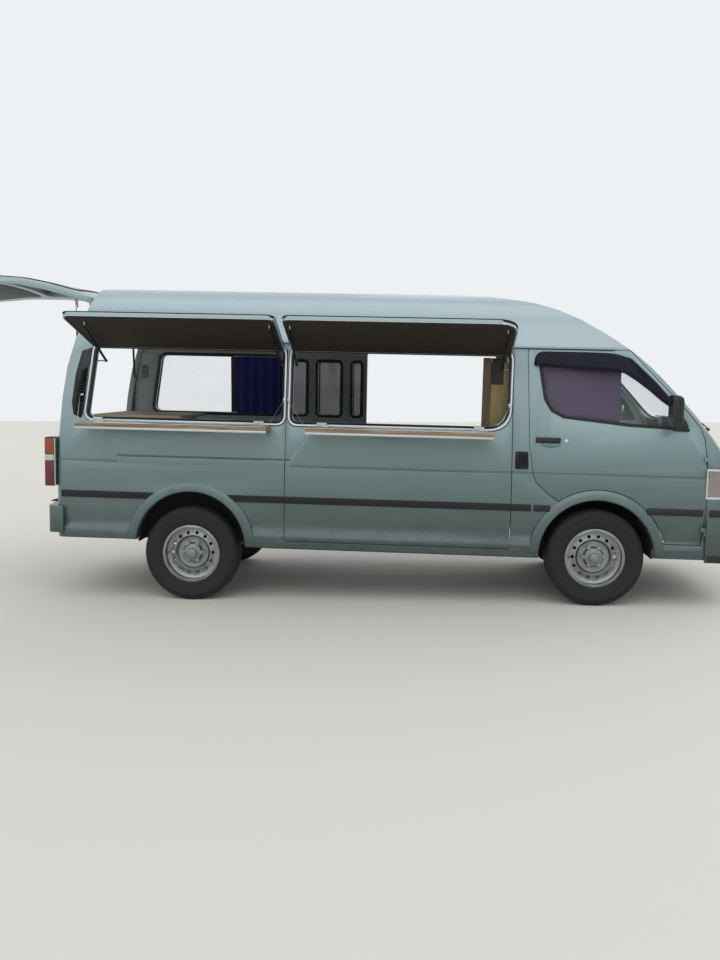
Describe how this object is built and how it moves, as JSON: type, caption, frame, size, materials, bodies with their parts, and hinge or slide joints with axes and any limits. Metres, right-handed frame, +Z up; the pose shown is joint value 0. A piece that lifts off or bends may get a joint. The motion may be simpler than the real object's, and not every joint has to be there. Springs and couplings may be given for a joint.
{
  "type": "high-roof market van",
  "caption": "High-roof panel van fitted as a market stall, with lift-up side hatches, fold-out counters, a raised tailgate and sliding side doors, standing open for trade.",
  "frame": {"origin": "on the ground at the centre of the box round the van as it stands open for trade", "axes": "+X towards the nose, +Y to the van's left, +Z up"},
  "size_m": [6.1843, 2.2878, 2.3986],
  "materials": {
    "body_paint": "metallic clear coat",
    "window_glass": "clear, lightly tinted",
    "black_plastic": "matte black",
    "bare_steel": "bare, dull",
    "floor_paint": "primer grey, matte",
    "lamp_lens": "clear and coloured lenses",
    "frame_metal": "satin silver",
    "cab_plastic": "grained",
    "seat_cloth": "woven grey cloth",
    "stall_wood": "varnished board",
    "engine_iron": "cast",
    "axle_iron": "black painted casting",
    "counter_pine": "light pine, sealed",
    "wheel_silver": "silver paint",
    "tyre_rubber": "black rubber"
  },
  "bodies": {
    "body": {"floor_pan": "floor_paint", "side_panel_right": "body_paint", "side_panel_left": "body_paint", "roof": "body_paint", "nose": "body_paint", "windscreen": "window_glass", "side_glass": "window_glass", "slide_door_right": "body_paint", "slide_door_left": "body_paint", "lamps": "lamp_lens", "grille": "black_plastic", "bumper_front": "black_plastic", "bumper_rear": "black_plastic", "side_strips": "black_plastic", "hatch_frames": "frame_metal", "vents": "black_plastic", "dashboard": "cab_plastic", "steering_wheel": "cab_plastic", "seats": "seat_cloth", "woodwork": "stall_wood", "engine": "engine_iron", "fuel_tank": "floor_paint", "exhaust": "bare_steel", "rear_axle": "axle_iron", "leaf_springs": "axle_iron", "front_suspension": "axle_iron"},
    "knuckle_left": {"knuckle_left": "axle_iron"},
    "knuckle_right": {"knuckle_right": "axle_iron"},
    "door_left": {"door_left": "body_paint", "door_glass_left": "window_glass", "door_trim_left": "black_plastic"},
    "door_right": {"door_right": "body_paint", "door_glass_right": "window_glass", "door_trim_right": "black_plastic"},
    "tailgate": {"tailgate": "body_paint", "tailgate_glass": "window_glass"},
    "tailgate_tubes": {"tailgate_tubes": "black_plastic"},
    "tailgate_rods": {"tailgate_rods": "bare_steel"},
    "counter_rear": {"counter_rear": "counter_pine"},
    "counter_front": {"counter_front": "counter_pine"},
    "wheel_front_left": {"rim_front_left": "wheel_silver", "tyre_front_left": "tyre_rubber"},
    "wheel_front_right": {"rim_front_right": "wheel_silver", "tyre_front_right": "tyre_rubber"},
    "wheel_rear_left": {"rim_rear_left": "wheel_silver", "tyre_rear_left": "tyre_rubber"},
    "wheel_rear_right": {"rim_rear_right": "wheel_silver", "tyre_rear_right": "tyre_rubber"},
    "hatch_rear": {"hatch_rear": "body_paint"},
    "hatch_rear_tubes": {"hatch_rear_tubes": "black_plastic"},
    "hatch_rear_rods": {"hatch_rear_rods": "bare_steel"},
    "hatch_front": {"hatch_front": "body_paint"},
    "hatch_front_tubes": {"hatch_front_tubes": "black_plastic"},
    "hatch_front_rods": {"hatch_front_rods": "bare_steel"}
  },
  "joints": [
    {"name": "steer_left", "type": "hinge", "parent": "body", "child": "knuckle_left", "pos_m": [2.05711, 0.80395, 0.343], "axis": [0, 0, 1], "range_deg": [-34, 34]},
    {"name": "steer_right", "type": "hinge", "parent": "body", "child": "knuckle_right", "pos_m": [2.05711, -0.53605, 0.343], "axis": [0, 0, 1], "range_deg": [-34, 34]},
    {"name": "spin_front_left", "type": "hinge", "parent": "knuckle_left", "child": "wheel_front_left", "pos_m": [2.05711, 0.85895, 0.343], "axis": [0, 1, 0], "continuous": true},
    {"name": "spin_front_right", "type": "hinge", "parent": "knuckle_right", "child": "wheel_front_right", "pos_m": [2.05711, -0.59105, 0.343], "axis": [0, 1, 0], "continuous": true},
    {"name": "spin_rear_left", "type": "hinge", "parent": "body", "child": "wheel_rear_left", "pos_m": [-0.83289, 0.84895, 0.343], "axis": [0, 1, 0], "continuous": true},
    {"name": "spin_rear_right", "type": "hinge", "parent": "body", "child": "wheel_rear_right", "pos_m": [-0.83289, -0.58105, 0.343], "axis": [0, 1, 0], "continuous": true},
    {"name": "open_door_left", "type": "hinge", "parent": "body", "child": "door_left", "pos_m": [2.80013, 0.98195, 0.78185], "axis": [-0.0246, 0, -0.9997], "range_deg": [0, 65]},
    {"name": "open_door_right", "type": "hinge", "parent": "body", "child": "door_right", "pos_m": [2.80013, -0.71405, 0.78185], "axis": [0.0246, 0, 0.9997], "range_deg": [0, 65]},
    {"name": "close_tailgate", "type": "hinge", "parent": "body", "child": "tailgate", "pos_m": [-1.54624, 0.13395, 2.22124], "axis": [0, -1, 0], "range_deg": [0, 83.2]},
    {"name": "turn_tailgate_tubes", "type": "hinge", "parent": "body", "child": "tailgate_tubes", "pos_m": [-1.67844, 0.13395, 1.63231], "axis": [0, -1, 0], "range_deg": [-25.86, 0.5]},
    {"name": "slide_tailgate_rods", "type": "slide", "parent": "tailgate_tubes", "child": "tailgate_rods", "axis": [-0.0146, 0, 0.9999], "range_m": [-0.0204, 0.001]},
    {"name": "close_hatch_rear", "type": "hinge", "parent": "body", "child": "hatch_rear", "pos_m": [-0.797, -0.64168, 1.83668], "axis": [0.9997, 0, -0.0246], "range_deg": [0, 107.19]},
    {"name": "turn_hatch_rear_tubes", "type": "hinge", "parent": "body", "child": "hatch_rear_tubes", "pos_m": [-0.79985, -0.60805, 1.72072], "axis": [0.9997, 0, -0.0246], "range_deg": [-0.5, 113.75]},
    {"name": "slide_hatch_rear_rods", "type": "slide", "parent": "hatch_rear_tubes", "child": "hatch_rear_rods", "axis": [0.0114, -0.8869, 0.4618], "range_m": [-0.19074, 0.001]},
    {"name": "close_hatch_front", "type": "hinge", "parent": "body", "child": "hatch_front", "pos_m": [0.68255, -0.64168, 1.80027], "axis": [0.9997, 0, -0.0246], "range_deg": [0, 107.19]},
    {"name": "turn_hatch_front_tubes", "type": "hinge", "parent": "body", "child": "hatch_front_tubes", "pos_m": [0.6797, -0.60805, 1.6843], "axis": [0.9997, 0, -0.0246], "range_deg": [-0.5, 113.75]},
    {"name": "slide_hatch_front_rods", "type": "slide", "parent": "hatch_front_tubes", "child": "hatch_front_rods", "axis": [0.0114, -0.8869, 0.4618], "range_m": [-0.19074, 0.001]},
    {"name": "fold_counter_rear", "type": "hinge", "parent": "body", "child": "counter_rear", "pos_m": [-0.90386, -0.70305, 1.29515], "axis": [-0.9997, 0, 0.0246], "range_deg": [0, 90]},
    {"name": "fold_counter_front", "type": "hinge", "parent": "body", "child": "counter_front", "pos_m": [0.68166, -0.70305, 1.25612], "axis": [-0.9997, 0, 0.0246], "range_deg": [0, 90]}
  ],
  "couplings": [
    {"joint": "steer_right", "follows": "steer_left", "ratio": 1},
    {"joint": "turn_tailgate_tubes", "follows": "close_tailgate", "ratio": -0.30482},
    {"joint": "slide_tailgate_rods", "follows": "close_tailgate", "m_per_rad": -0.013362},
    {"joint": "turn_hatch_rear_tubes", "follows": "close_hatch_rear", "ratio": 1.0565},
    {"joint": "slide_hatch_rear_rods", "follows": "close_hatch_rear", "m_per_rad": -0.10142},
    {"joint": "turn_hatch_front_tubes", "follows": "close_hatch_front", "ratio": 1.0565},
    {"joint": "slide_hatch_front_rods", "follows": "close_hatch_front", "m_per_rad": -0.10142}
  ]
}
